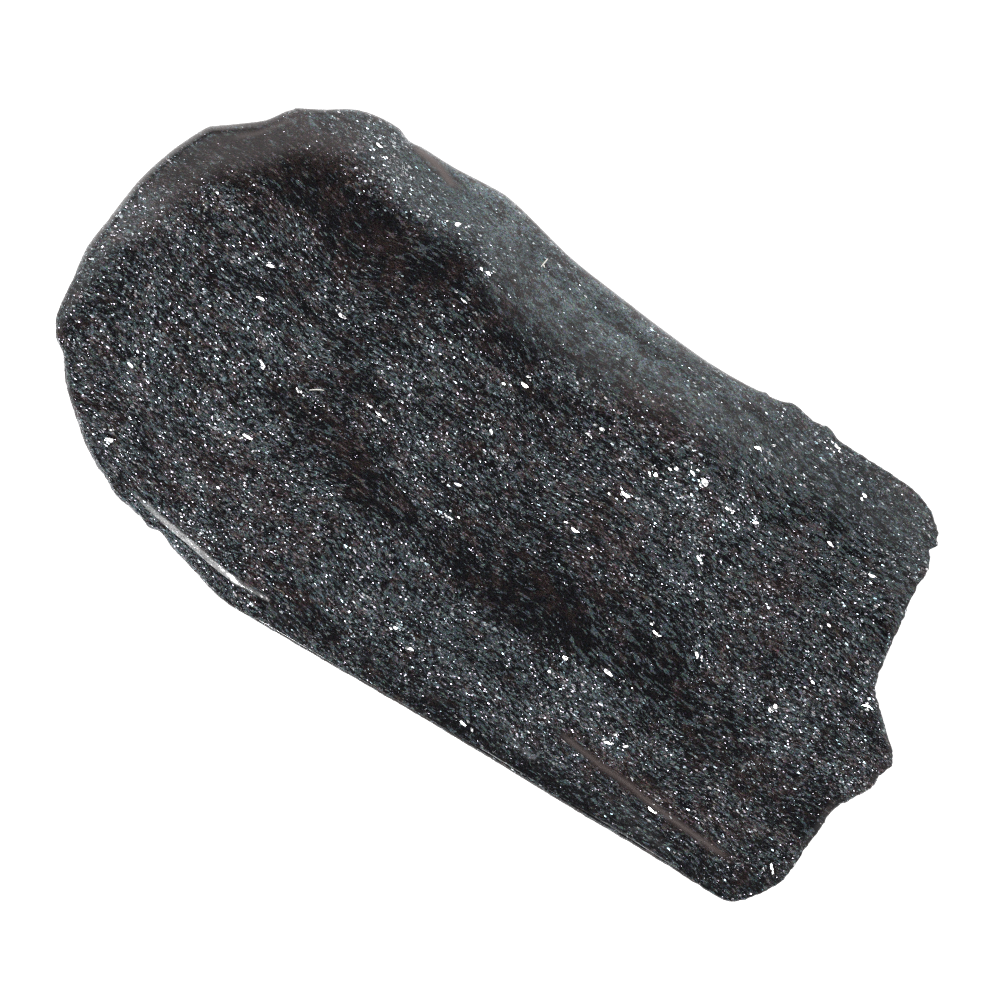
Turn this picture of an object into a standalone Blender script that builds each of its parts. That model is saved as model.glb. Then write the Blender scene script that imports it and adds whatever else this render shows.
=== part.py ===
"""A polished free-form slab of specular hematite.

One natural stone lying on its flat, ground base. Its outline has a round end at -X, a long softly
bevelled edge at +Y, a long chamfered edge at -Y and a rough broken end at +X. Seen from above, +X is
the long way, and the origin is on the base, at the middle of the slab's length and width.
Everything below is in millimetres until the mesh is made.
"""
import math

import bmesh
import bpy
from mathutils import Vector, noise

MM = 0.001

# Driving dimensions
LENGTH = 76.0
WIDTH = 39.2
THICKNESS = 9.0

# The outline, clockwise from the upper left, as the few points that its bends and notches need.
# A smooth closed curve runs through all of them.
UPPER_EDGE = [
    (-30.6, 15.35), (-30.2, 15.95), (-29.85, 16.3), (-29.75, 16.5), (-29.35, 16.75), (-28.4, 17.25),
    (-27.4, 17.85), (-25.65, 18.95), (-23.95, 19.4), (-21.8, 19.5), (-20.8, 19.1), (-19.7, 19.2),
    (-16.45, 19.2), (-12.1, 19.5), (-9.0, 18.95), (-5.05, 18.05), (0.0, 17.5), (6.0, 16.95), (9.5, 16.8),
    (13.3, 17.05), (13.75, 17.2), (14.1, 17.1), (14.8, 17.2), (15.5, 17.4), (15.9, 17.6), (16.9, 17.55),
    (18.05, 17.3), (19.0, 17.45), (19.15, 17.55), (19.9, 17.4), (20.3, 17.2), (21.3, 17.05),
    (26.55, 17.05), (28.6, 16.75), (30.05, 16.15), (30.5, 15.75), (31.4, 15.0),
]
BROKEN_END = [
    (31.4, 14.75), (31.8, 14.2), (31.45, 13.55), (31.7, 13.2), (32.15, 12.4), (32.15, 10.25), (32.6, 7.7),
    (33.15, 3.55), (33.5, 2.15), (34.55, 0.95), (36.9, -1.15), (37.75, -2.0), (38.0, -3.05),
    (37.65, -3.85), (37.5, -5.15), (36.5, -6.95), (35.85, -8.35), (35.85, -10.15), (35.6, -11.95),
    (35.65, -12.95), (35.4, -15.1), (34.65, -16.45), (33.55, -18.0), (32.45, -18.7),
]
LOWER_EDGE = [
    (29.95, -18.8), (24.75, -18.8), (18.0, -18.95), (4.0, -19.1), (-5.0, -19.4), (-12.0, -19.6),
    (-13.9, -19.6), (-15.9, -19.2),
]
ROUND_END = [
    (-18.05, -18.6), (-19.8, -18.15), (-20.5, -17.85), (-21.2, -17.65), (-21.7, -17.8), (-22.3, -17.8),
    (-23.0, -17.5), (-24.7, -17.25), (-26.2, -16.85), (-26.8, -16.4), (-28.05, -15.95), (-30.65, -14.25),
    (-33.2, -12.05), (-33.9, -11.35), (-35.2, -9.6), (-36.1, -9.05), (-37.0, -7.6), (-37.5, -4.25),
    (-37.9, -1.6), (-37.65, 1.0), (-37.25, 4.95), (-36.15, 8.75), (-35.2, 10.9), (-34.75, 11.7),
    (-34.35, 12.0), (-32.5, 13.4), (-31.15, 14.55),
]

# How the edge is finished all round, at stations near these outline points: (x, y), the bevel's
# width and its fall, the radius of the edge below it, how far the foot of the wall is tucked in
# under the slab, and how deep the broken relief of the wall is (0 where it is ground and polished).
EDGE_STATIONS = [
    ((-37.9, -1.5), 2.14, 0.67, 0.75, 4.2, 0.1),
    ((-37.4, 4), 3.85, 1.26, 0.7, 4.2, 0),
    ((-36.9, 7), 4.17, 1.16, 0.5, 4.1, 0),
    ((-34.5, 11.5), 3.96, 1.37, 0.6, 4, 0),
    ((-30.5, 15.5), 3.42, 1.26, 0.5, 3.4, 0),
    ((-27, 18.1), 3.91, 1.42, 0.4, 3, 0),
    ((-22, 19.4), 4.71, 1.7, 0.45, 2.8, 0),
    ((-18, 19.1), 5.24, 1.89, 0.45, 2.6, 0),
    ((-13, 19.5), 5.35, 1.91, 0.5, 2.6, 0),
    ((-8.5, 18.8), 6.96, 2.39, 0.45, 2.6, 0),
    ((-3, 17.8), 6.85, 2.31, 0.42, 2.8, 0),
    ((1.5, 17.3), 7.17, 2.31, 0.55, 3, 0),
    ((6.5, 16.9), 6.1, 1.99, 0.6, 3.1, 0),
    ((11.5, 17), 5.78, 1.81, 0.5, 3.2, 0.1),
    ((17, 17.5), 6.63, 1.63, 0.3, 2.8, 0.3),
    ((23, 17.05), 6.21, 1.37, 0.25, 2.4, 0.5),
    ((28.3, 16.8), 6.42, 1.43, 0.25, 2, 0.7),
    ((31.7, 13.5), 5.35, 1, 0.2, 1.8, 1),
    ((32.6, 7.7), 0.9, 0.15, 0.2, 1.6, 1),
    ((37.9, -3), 0.9, 0.2, 0.2, 3, 1.2),
    ((35.9, -8.5), 0.9, 0.25, 0.35, 2, 1),
    ((35.5, -13), 1, 0.2, 0.2, 1.6, 1),
    ((33.5, -18), 1.6, 0.26, 0.3, 1.8, 0.8),
    ((31.5, -18.75), 3.1, 0.38, 0.4, 2, 0.4),
    ((20, -18.9), 4.28, 0.53, 0.45, 1.8, 0.25),
    ((11, -19), 3.64, 0.42, 0.4, 1.8, 0.25),
    ((5, -19.1), 3, 0.32, 0.18, 2, 0.25),
    ((-6, -19.4), 2.14, 0.21, 0.2, 2.2, 0.25),
    ((-12.4, -19.5), 2.14, 0.27, 0.2, 2.5, 0.25),
    ((-14.1, -19.5), 2.0, 0.33, 0.3, 2.5, 0.25),
    ((-14.7, -19.4), 1.9, 0.88, 0.3, 2.6, 0.25),
    ((-19.5, -18.4), 1.93, 0.88, 0.3, 2.8, 0.3),
    ((-25, -17.1), 1.5, 0.76, 0.35, 3.2, 0.5),
    ((-28.6, -15.7), 1.1, 0.42, 0.5, 3.6, 0.5),
    ((-32, -13.3), 0.6, 0.2, 0.6, 3.8, 0.5),
    ((-35.8, -9.2), 0.6, 0.15, 0.35, 4, 0.4),
    ((-37.3, -5.5), 1.3, 0.42, 0.5, 4.2, 0.2),
]
BEVEL_SOFTNESS = 0.3       # how rounded the crease is between the top and the bevel, 0 to 1

# The deepest bevels turn down more, this much, over this width close to the rim. It starts where
# the bevel falls by the first amount and is all there where it falls by the second.
SHOULDER_FALL, SHOULDER_WIDTH = 0.19, 1.3
SHOULDER_FROM, SHOULDER_FULL = 1.4, 2.0

# The top is gently crowned about its highest place, with a few shallow polished hollows:
# centre, radii, depth.
CROWN_CENTRE = (-8.0, 3.0)
CROWN_FALL = (1.1, 0.6)    # at half the slab's length and width away from the highest place
HOLLOWS = [
    ((-18.0, 10.0), (12.0, 4.0), 0.16),
    ((8.0, -6.0), (7.0, 4.0), 0.14),
    ((-10.0, -6.0), (6.0, 4.0), 0.10),
    ((18.0, -8.0), (6.0, 5.0), 0.10),
    ((26.0, 4.0), (7.0, 6.0), 0.12),
]

# The wall rises from the flat base to the girdle, the widest level, in a quarter of an oval.
GIRDLE_HEIGHT = 0.46 * THICKNESS
WALL_SHARES = [0.0, 0.05, 0.14, 0.28, 0.48, 0.72, 1.0]
RELIEF_GRAIN = 2.6         # the size of the steps in the broken wall

# How finely the solid is faceted
POINTS_AROUND = 220
EDGE_INSETS = [0.0, 0.12, 0.35, 0.8, 1.4, 2.2, 3.2, 4.4, 5.8, 7.2]
INNER_SHARES = [0.75, 0.5, 0.25]
MIDDLE_HALF = 19.0         # the rings close in on a middle line of about this half length
MIDDLE_PULL = 0.9          # how closely a ring's point keeps its own place along that line
CURVE_STEPS = 16
SHARP_ANGLE = math.radians(40)

STONE_COLOUR = (0.045, 0.050, 0.055, 1.0)
STONE_ROUGHNESS = 0.22
STONE_METALLIC = 0.35


def curve_point(before, start, end, after, amount):
    """A point between start and end on the centripetal Catmull-Rom curve through the four points."""
    knots = [0.0]
    points = [Vector(before), Vector(start), Vector(end), Vector(after)]
    for first, second in zip(points, points[1:]):
        knots.append(knots[-1] + math.sqrt((second - first).length))
    place = knots[1] + amount * (knots[2] - knots[1])
    for level in range(1, 4):
        points = [
            points[i].lerp(points[i + 1], (place - knots[i]) / (knots[i + level] - knots[i]))
            for i in range(4 - level)
        ]
    return points[0]


def closed_curve(corners):
    """The closed smooth curve through the corners, as many short chords."""
    count = len(corners)
    return [
        curve_point(corners[i - 1], corners[i], corners[(i + 1) % count], corners[(i + 2) % count],
                    step / CURVE_STEPS)
        for i in range(count)
        for step in range(CURVE_STEPS)
    ]


def evenly_spaced(points, count):
    """count points at equal distances along the closed chain of points."""
    lengths = [0.0]
    for i, point in enumerate(points):
        lengths.append(lengths[-1] + (points[(i + 1) % len(points)] - point).length)
    spaced = []
    i = 0
    for k in range(count):
        target = lengths[-1] * k / count
        while lengths[i + 1] < target:
            i += 1
        amount = (target - lengths[i]) / (lengths[i + 1] - lengths[i])
        spaced.append(points[i].lerp(points[(i + 1) % len(points)], amount))
    return spaced


def stone_outline():
    """The slab's outline, centred on the origin and of the driving length and width."""
    curve = closed_curve(UPPER_EDGE + BROKEN_END + LOWER_EDGE + ROUND_END)
    points = evenly_spaced(curve, POINTS_AROUND)
    low = Vector((min(p.x for p in points), min(p.y for p in points)))
    high = Vector((max(p.x for p in points), max(p.y for p in points)))
    middle = (low + high) / 2
    stretch = Vector((LENGTH / (high.x - low.x), WIDTH / (high.y - low.y)))
    return [(p - middle) * stretch for p in points]


def edges_round(outline):
    """The edge's five sizes, as in EDGE_STATIONS, at each point of the outline."""
    count = len(outline)
    stations = []
    for place, *sizes in EDGE_STATIONS:
        nearest = min(range(count), key=lambda i: (outline[i] - Vector(place)).length)
        stations.append((nearest, sizes))
    stations.sort()
    edges = []
    for i in range(count):
        after = next((k for k, (at, _) in enumerate(stations) if at > i), 0)
        start, start_sizes = stations[after - 1]
        end, end_sizes = stations[after]
        amount = ((i - start) % count) / ((end - start) % count)
        amount = amount * amount * (3 - 2 * amount)
        edges.append([a + (b - a) * amount for a, b in zip(start_sizes, end_sizes)])
    return edges


def crown_height(x, y):
    """The height of the polished top, before the bevel is taken off it."""
    height = THICKNESS
    height -= CROWN_FALL[0] * ((x - CROWN_CENTRE[0]) / (LENGTH / 2)) ** 2
    height -= CROWN_FALL[1] * ((y - CROWN_CENTRE[1]) / (WIDTH / 2)) ** 2
    for (centre_x, centre_y), (radius_x, radius_y), depth in HOLLOWS:
        away = ((x - centre_x) / radius_x) ** 2 + ((y - centre_y) / radius_y) ** 2
        height -= depth * math.exp(-away)
    return height


def soft_hinge(amount, softness):
    """0 below zero and amount above it, with a parabola round the corner between."""
    if amount <= -softness:
        return 0.0
    if amount >= softness:
        return amount
    return (amount + softness) ** 2 / (4 * softness)


def bevel_fall(inset, width, fall, radius):
    """How far the bevel and the rounded edge below it lie under the crown, this far in."""
    drop = fall * soft_hinge(1 - inset / width, BEVEL_SOFTNESS)
    if inset < SHOULDER_WIDTH:
        strength = min(1, max(0, (fall - SHOULDER_FROM) / (SHOULDER_FULL - SHOULDER_FROM)))
        drop += SHOULDER_FALL * strength * (1 - inset / SHOULDER_WIDTH) ** 2
    if inset < radius:
        drop += radius - math.sqrt(radius ** 2 - (radius - inset) ** 2)
    return drop


def middle_line_point(point):
    """The point of the middle line that this outline point's rings close in on."""
    return Vector((MIDDLE_HALF * math.tanh(MIDDLE_PULL * point.x / MIDDLE_HALF), 0.0))


def moved_in(point, inset):
    """The outline point moved this far towards the middle line."""
    return point + (middle_line_point(point) - point).normalized() * inset


def wall_rings(outline, edges):
    """The rings of the side, from the flat base up to the girdle."""
    rings = []
    for share in WALL_SHARES:
        height = GIRDLE_HEIGHT * share
        tuck = 1 - math.sqrt(1 - (1 - share) ** 2)
        swell = 4 * share * (1 - share)
        ring = []
        for point, (_, _, _, undercut, relief) in zip(outline, edges):
            grain = Vector((point.x, point.y, height)) / RELIEF_GRAIN
            broken = relief * swell * (1 + noise.noise(grain)) / 2
            flat = moved_in(point, undercut * tuck + broken)
            ring.append(Vector((flat.x, flat.y, height)))
        rings.append(ring)
    return rings


def top_rings(outline, edges):
    """The rings of the top, from above the girdle in to the last one round the middle line."""
    rings = []
    for inset in EDGE_INSETS:
        ring = []
        for point, (width, fall, radius, _, _) in zip(outline, edges):
            flat = moved_in(point, inset)
            height = crown_height(flat.x, flat.y) - bevel_fall(inset, width, fall, radius)
            ring.append(Vector((flat.x, flat.y, height)))
        rings.append(ring)
    for share in INNER_SHARES:
        ring = []
        for point in outline:
            flat = middle_line_point(point).lerp(moved_in(point, EDGE_INSETS[-1]), share)
            ring.append(Vector((flat.x, flat.y, crown_height(flat.x, flat.y))))
        rings.append(ring)
    return rings


def loft(rings):
    """A closed triangle mesh through the rings, with a flat cap at the first and one at the last."""
    bm = bmesh.new()
    loops = [[bm.verts.new(p * MM) for p in ring] for ring in rings]
    for lower, upper in zip(loops, loops[1:]):
        for i in range(len(lower)):
            bm.faces.new((lower[i - 1], upper[i - 1], upper[i], lower[i]))
    bm.faces.new(loops[0])
    bm.faces.new(loops[-1])
    bmesh.ops.recalc_face_normals(bm, faces=bm.faces)
    bmesh.ops.triangulate(bm, faces=bm.faces, ngon_method="BEAUTY")
    return bm


def stone_material():
    material = bpy.data.materials.new("specular_hematite_polished")
    material.use_nodes = True
    shader = material.node_tree.nodes["Principled BSDF"]
    shader.inputs["Base Color"].default_value = STONE_COLOUR
    shader.inputs["Roughness"].default_value = STONE_ROUGHNESS
    shader.inputs["Metallic"].default_value = STONE_METALLIC
    return material


def make_stone(collection):
    """The whole slab, as one closed solid."""
    outline = stone_outline()
    edges = edges_round(outline)
    bm = loft(wall_rings(outline, edges) + top_rings(outline, edges))
    mesh = bpy.data.meshes.new("specular_hematite")
    bm.to_mesh(mesh)
    bm.free()
    mesh.shade_smooth()
    mesh.set_sharp_from_angle(angle=SHARP_ANGLE)
    mesh.materials.append(stone_material())
    stone = bpy.data.objects.new("specular_hematite", mesh)
    collection.objects.link(stone)
    return stone


def main():
    for old in list(bpy.data.objects):
        bpy.data.objects.remove(old)
    collection = bpy.data.collections.new("specular_hematite_slab")
    bpy.context.scene.collection.children.link(collection)
    make_stone(collection)


main()
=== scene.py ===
"""The polished slab of specular hematite as it looks, lying on a pale floor in soft studio light.

The stone is one closed mesh with the same outline, edges and crown as the CAD part's, more finely
made, and its dark body full of small metallic flakes is a shader in the stone's own coordinates.
Shapes are in millimetres until the mesh is made.
"""
import math
import random

import bpy
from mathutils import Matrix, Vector, noise
from mathutils.bvhtree import BVHTree


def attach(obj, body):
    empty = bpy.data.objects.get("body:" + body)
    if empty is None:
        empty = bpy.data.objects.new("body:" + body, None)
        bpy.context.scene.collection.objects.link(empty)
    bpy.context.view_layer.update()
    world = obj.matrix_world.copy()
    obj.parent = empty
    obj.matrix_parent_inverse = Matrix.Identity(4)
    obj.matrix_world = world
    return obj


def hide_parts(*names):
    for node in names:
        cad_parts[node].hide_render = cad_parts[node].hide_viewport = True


MM = 0.001

# ---- the slab: outline and edges as in the CAD part, and its finer shapes ----
LENGTH = 76.0
WIDTH = 39.2
THICKNESS = 9.0
UPPER_EDGE = [
    (-30.6, 15.35), (-30.2, 15.95), (-29.85, 16.3), (-29.75, 16.5), (-29.35, 16.75), (-28.4, 17.25),
    (-27.4, 17.85), (-25.65, 18.95), (-23.95, 19.4), (-21.8, 19.5), (-20.8, 19.1), (-19.7, 19.2),
    (-16.45, 19.2), (-12.1, 19.5), (-9, 18.95), (-5.05, 18.05), (0, 17.5), (6, 16.95), (9.5, 16.8),
    (13.3, 17.05), (13.75, 17.2), (14.1, 17.1), (14.8, 17.2), (15.5, 17.4), (15.9, 17.6), (16.9, 17.55),
    (18.05, 17.3), (19, 17.45), (19.15, 17.55), (19.9, 17.4), (20.3, 17.2), (21.3, 17.05),
    (26.55, 17.05), (28.6, 16.75), (30.05, 16.15), (30.5, 15.75), (31.4, 15),
]
BROKEN_END = [
    (31.4, 14.75), (31.8, 14.2), (31.45, 13.55), (31.7, 13.2), (32.15, 12.4), (32.15, 10.25), (32.6, 7.7),
    (33.15, 3.55), (33.5, 2.15), (34.55, 0.95), (36.9, -1.15), (37.75, -2), (38, -3.05),
    (37.65, -3.85), (37.5, -5.15), (36.5, -6.95), (35.85, -8.35), (35.85, -10.15), (35.6, -11.95),
    (35.65, -12.95), (35.4, -15.1), (34.65, -16.45), (33.55, -18), (32.45, -18.7),
]
LOWER_EDGE = [
    (29.95, -18.8), (24.75, -18.8), (18, -18.95), (4, -19.1), (-5, -19.4), (-12, -19.6),
    (-13.9, -19.6), (-15.9, -19.2),
]
ROUND_END = [
    (-18.05, -18.6), (-19.8, -18.15), (-20.5, -17.85), (-21.2, -17.65), (-21.7, -17.8), (-22.3, -17.8),
    (-23, -17.5), (-24.7, -17.25), (-26.2, -16.85), (-26.8, -16.4), (-28.05, -15.95), (-30.65, -14.25),
    (-33.2, -12.05), (-33.9, -11.35), (-35.2, -9.6), (-36.1, -9.05), (-37, -7.6), (-37.5, -4.25),
    (-37.9, -1.6), (-37.65, 1), (-37.25, 4.95), (-36.15, 8.75), (-35.2, 10.9), (-34.75, 11.7),
    (-34.35, 12), (-32.5, 13.4), (-31.15, 14.55),
]
# (x, y), bevel's width, its fall, radius of the edge below it, undercut, broken relief
EDGE_STATIONS = [
    ((-37.9, -1.5), 2.14, 0.67, 0.75, 4.2, 0.1),
    ((-37.4, 4), 3.85, 1.26, 0.7, 4.2, 0),
    ((-36.9, 7), 4.17, 1.16, 0.5, 4.1, 0),
    ((-34.5, 11.5), 3.96, 1.37, 0.6, 4, 0),
    ((-30.5, 15.5), 3.42, 1.26, 0.5, 3.4, 0),
    ((-27, 18.1), 3.91, 1.42, 0.4, 3, 0),
    ((-22, 19.4), 4.71, 1.7, 0.45, 2.8, 0),
    ((-18, 19.1), 5.24, 1.89, 0.45, 2.6, 0),
    ((-13, 19.5), 5.35, 1.91, 0.5, 2.6, 0),
    ((-8.5, 18.8), 6.96, 2.39, 0.45, 2.6, 0),
    ((-3, 17.8), 6.85, 2.31, 0.42, 2.8, 0),
    ((1.5, 17.3), 7.17, 2.31, 0.55, 3, 0),
    ((6.5, 16.9), 6.1, 1.99, 0.6, 3.1, 0),
    ((11.5, 17), 5.78, 1.81, 0.5, 3.2, 0.1),
    ((17, 17.5), 6.63, 1.63, 0.3, 2.8, 0.3),
    ((23, 17.05), 6.21, 1.37, 0.25, 2.4, 0.5),
    ((28.3, 16.8), 6.42, 1.43, 0.25, 2, 0.7),
    ((31.7, 13.5), 5.35, 1, 0.2, 1.8, 1),
    ((32.6, 7.7), 0.9, 0.15, 0.2, 1.6, 1),
    ((37.9, -3), 0.9, 0.2, 0.2, 3, 1.2),
    ((35.9, -8.5), 0.9, 0.25, 0.35, 2, 1),
    ((35.5, -13), 1, 0.2, 0.2, 1.6, 1),
    ((33.5, -18), 1.6, 0.12, 0.2, 1.8, 0.8),
    ((31.5, -18.75), 2.6, 0.18, 0.25, 2, 0.5),
    ((20, -18.9), 4.28, 0.53, 0.45, 1.8, 0.25),
    ((11, -19), 3.64, 0.42, 0.4, 1.8, 0.25),
    ((5, -19.1), 3, 0.32, 0.18, 2, 0.25),
    ((-6, -19.4), 2.14, 0.21, 0.2, 2.2, 0.25),
    ((-12.4, -19.5), 2.14, 0.27, 0.2, 2.5, 0.25),
    ((-14.1, -19.5), 2, 0.33, 0.3, 2.5, 0.25),
    ((-14.7, -19.4), 1.9, 0.88, 0.3, 2.6, 0.25),
    ((-19.5, -18.4), 1.93, 0.88, 0.3, 2.8, 0.3),
    ((-25, -17.1), 1.5, 0.76, 0.35, 3.2, 0.5),
    ((-28.6, -15.7), 1.1, 0.42, 0.5, 3.6, 0.5),
    ((-32, -13.3), 0.6, 0.2, 0.6, 3.8, 0.5),
    ((-35.8, -9.2), 0.6, 0.15, 0.35, 4, 0.4),
    ((-37.3, -5.5), 1.3, 0.42, 0.5, 4.2, 0.2),
]
BEVEL_SOFTNESS = 0.3
# The sharp line between the round end's flat top and the steep bevel below it, and along it: x, the
# slope just above the line, the slope below it, and how far above the line the top starts to turn
CREASE = [
    (-30.5, -12.6), (-27.6, -14.7), (-24.7, -16.03), (-22.54, -16.64), (-18.59, -17.27), (-14.75, -17.86),
    (-12.65, -17.77), (-10.56, -17.68), (-6.5, -17.45),
]
CREASE_SHAPE = [
    (-29, 0.05, 0.38, 0.5), (-25.4, 0.16, 0.44, 0.6), (-23, 0.243, 0.5, 0.65),
    (-20, 0.256, 0.5, 0.73), (-15.7, 0.257, 0.5, 0.75), (-15.2, 0.27, 0.48, 0.72),
    (-14.8, 0.27, 0.46, 0.72), (-14.3, 0.215, 0.17, 0.78), (-13.4, 0.2, 0.14, 0.72),
    (-12, 0.195, 0.12, 0.6), (-10.5, 0.185, 0.1, 0.5), (-8, 0.06, 0.1, 0.45),
]
CREASE_FROM, CREASE_FULL, CREASE_WANE, CREASE_TO = -28.5, -25.5, -10.8, -8.2
CREASE_STEPS = 12
CREASE_RISE = 3.7  # how quickly the top gets to its full slope before the line
CREASE_RING = 1.55  # the ring of BEVEL_INSETS that is laid along the line
CREASE_RING_TO, CREASE_RING_FADE = 5.0, 2.0  # from here on in the rings keep their own distances
LINE_POLISH, LINE_REACH = 0.75, 6.0  # the polish at the line, and how far in it is full again
TAIL_FROM, TAIL_FADE, TAIL_WEAR = -14.5, 0.5, 0.55  # the line is worn from this x on
STEEP_WEAR, STEEP_FADE = 0.85, 0.2  # how much of the polish is gone below the line
CHIP_REACH = 0.5  # the rim's small chips reach this far in
RIM_HIGHLIGHT_WIDTH = 0.22  # the rim's sharp corner gets a painted pale highlight over this width
LIP_WIDTH, LIP_FADE = 0.48, 0.4  # on the round end the painted rim highlight widens into a lip, with a dark line inside it
LIP_RIGHT, LIP_LOW, LIP_HIGH, LIP_END_FADE = -28.5, -3.5, 15.0, 3.0  # left of this x, between these y
GROOVE_INSET, GROOVE_HALF = 0.62, 0.11
GROOVE_DULLS, GROOVE_CLEARS = 0.8, 0.9  # how much polish and painted sheen the dark line takes away
SHEEN_FALL, SHEEN_FALL_FADE = 0.9, 0.6  # bevels that fall more than this get the painted sheen, a painted reflection,
SHEEN_REACH = 1.25  # up to this many of their widths in,
SHEEN_THINS_FROM, SHEEN_THINS_OVER, SHEEN_THINNING = 8, 9, 0.6  # and less so from this x on
SHOULDER_WIDTH = 1.3
SHOULDER_FALL = 0.19  # what the deepest bevels drop more, close to the rim
SHOULDER_FROM, SHOULDER_FULL = 1.4, 2.0
CROWN_CENTRE = (-8, 3)
CROWN_FALL = (1.1, 0.6)
# A low ledge along the chamfer's top, facing +Y: its path, its rise and how wide it is
LEDGE = [
    (9.5, -14.1), (14, -14.25), (18.3, -14.75), (21, -14.85), (22.7, -15.15), (25.1, -15.35),
    (28, -15.5), (30.8, -15.65),
]
LEDGE_RISE = 0.13
LEDGE_WIDTH = 0.5
LEDGE_END_FADES = (4, 2)
# Painted reflections: smooth pale brown lines painted along the ledge, on a chip in the top edge and round
# the top left corner.
# Each is a path, half its width and its strength
GLINT_LINES = [
    (LEDGE[1:], 0.25, 0.9),
    ([(-20.6, 19), (-18.6, 18.77), (-17.5, 18.56), (-16.3, 18.06), (-15.3, 18.1)], 0.3, 1.25),
    ([(-33.1, 11.6), (-31.2, 13.25), (-29.9, 15.1), (-28.9, 16.2)], 0.17, 0.6),
]
GLINT_LINE_END = 1.0  # a line fades out over this length at each end
GLINT_LINE_REACH = 3  # and is lost this many of its half widths away
# Shallow hollows in the top: centre, radii and depth
HOLLOWS = [
    ((-18, 10), (12, 4), 0.16), ((8, -6), (7, 4), 0.14), ((-10, -6), (6, 4), 0.1),
    ((18, -8), (6, 5), 0.1), ((26, 4), (7, 6), 0.12),
]
GIRDLE_HEIGHT = 0.46 * THICKNESS
RELIEF_GRAIN = 2.6  # how large the broken wall's bites are
WALL_DISH = 0.25  # the wall above the girdle is hollow by a quarter of this
WALL_BREAK = 4  # and by this many times more where it is broken
MIDDLE_HALF = 19.0  # the rings close in on a line this far to each side of the middle
MIDDLE_PULL = 0.9
TEETH = [(1.1, 0.07), (0.45, 0.09), (0.22, 0.05)]  # size and depth of the rim's small chips
TEETH_LEAST = 0.12  # their share where the edge isn't broken

# ---- the unevenness that hand polishing left ----
TROUGH_INSETS = (1.9, 3.1)  # a faint trough runs along the wide bevel, this far in from the rim
TROUGH_SOFTNESS, TROUGH_DEPTH = 0.4, 0.034
TROUGH_HALF = 18.0  # it dies out this far to each side of the middle
SWELLS = [(6, 2.2, 3.3, 1), (2.6, 1.1, 8.1, 0.5)]  # low swells: length, width, seed and part
SWELL_HEIGHT = 0.03
STEP_INSET = 2.0  # a faint step runs along the lower bevel, this far in
STEP_SOFTNESS, STEP_HEIGHT, STEP_REACH = 0.14, 0.011, 5.0
STEP_FROM, STEP_TO, STEP_FADE = -8, 14, 3
STEP_WAVE = (3, 5.2)  # the length and the seed of its ups and downs
STILL_SHARE, STILL_REACH = 0.85, 4.0  # there is less of it by the sharp line

# ---- how finely the visual stone is made ----
POINTS_AROUND = 1400
CURVE_STEPS = 40
WALL_LEVELS = 10
UPPER_SHARES = [0, 0.3, 0.6, 0.83, 0.96]
RIM_INSETS = [0, 0.03, 0.07, 0.12, 0.18, 0.26, 0.35, 0.45, 0.56, 0.68, 0.82, 0.96, 1.1, 1.25, 1.4]
BEVEL_INSETS = [1.47, 1.55, 1.62, 1.69, 1.77, 1.88, 2, 2.14]
BEVEL_INSETS += [2.3 + 0.17 * step for step in range(20)] + [5.85, 6.2, 6.6, 7.1]
INNER_SHARES = [1 - step / 14 for step in range(1, 14)] + [0.03]


def clamped(value):
    return min(1, max(0, value))


def eased(share):
    """A share from 0 to 1 with a soft start and end."""
    return share * share * (3 - 2 * share)


def between(rows, x):
    """The other numbers of a table's row at this x, on straight lines between its rows."""
    after = max(1, next((k for k, row in enumerate(rows) if row[0] > x), len(rows) - 1))
    low, high = rows[after - 1], rows[after]
    amount = clamped((x - low[0]) / (high[0] - low[0]))
    return [a + (b - a) * amount for a, b in zip(low[1:], high[1:])]


def rotated(along, across, turn):
    """A step turned by this many degrees."""
    cos, sin = math.cos(math.radians(turn)), math.sin(math.radians(turn))
    return along * cos - across * sin, along * sin + across * cos


def raised(flat, height):
    return Vector((flat.x, flat.y, height))


def curve_point(before, start, end, after, amount):
    """A point between start and end on the centripetal Catmull-Rom curve through the four points."""
    knots = [0]
    points = [Vector(before), Vector(start), Vector(end), Vector(after)]
    for first, second in zip(points, points[1:]):
        knots.append(knots[-1] + math.sqrt((second - first).length))
    place = knots[1] + amount * (knots[2] - knots[1])
    for level in range(1, 4):
        points = [
            points[i].lerp(points[i + 1], (place - knots[i]) / (knots[i + level] - knots[i]))
            for i in range(4 - level)
        ]
    return points[0]


def closed_curve(corners):
    count = len(corners)
    return [
        curve_point(corners[i - 1], corners[i], corners[(i + 1) % count], corners[(i + 2) % count],
                    step / CURVE_STEPS)
        for i in range(count)
        for step in range(CURVE_STEPS)
    ]


def evenly_spaced(points, count):
    lengths = [0]
    for i, point in enumerate(points):
        lengths.append(lengths[-1] + (points[(i + 1) % len(points)] - point).length)
    spaced = []
    i = 0
    for k in range(count):
        target = lengths[-1] * k / count
        while lengths[i + 1] < target:
            i += 1
        amount = (target - lengths[i]) / (lengths[i + 1] - lengths[i])
        spaced.append(points[i].lerp(points[(i + 1) % len(points)], amount))
    return spaced


def stone_outline():
    curve = closed_curve(UPPER_EDGE + BROKEN_END + LOWER_EDGE + ROUND_END)
    points = evenly_spaced(curve, POINTS_AROUND)
    low, high = (Vector((end(p.x for p in points), end(p.y for p in points))) for end in (min, max))
    middle = (low + high) / 2
    stretch = Vector((LENGTH / (high.x - low.x), WIDTH / (high.y - low.y)))
    return [(p - middle) * stretch for p in points]


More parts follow.
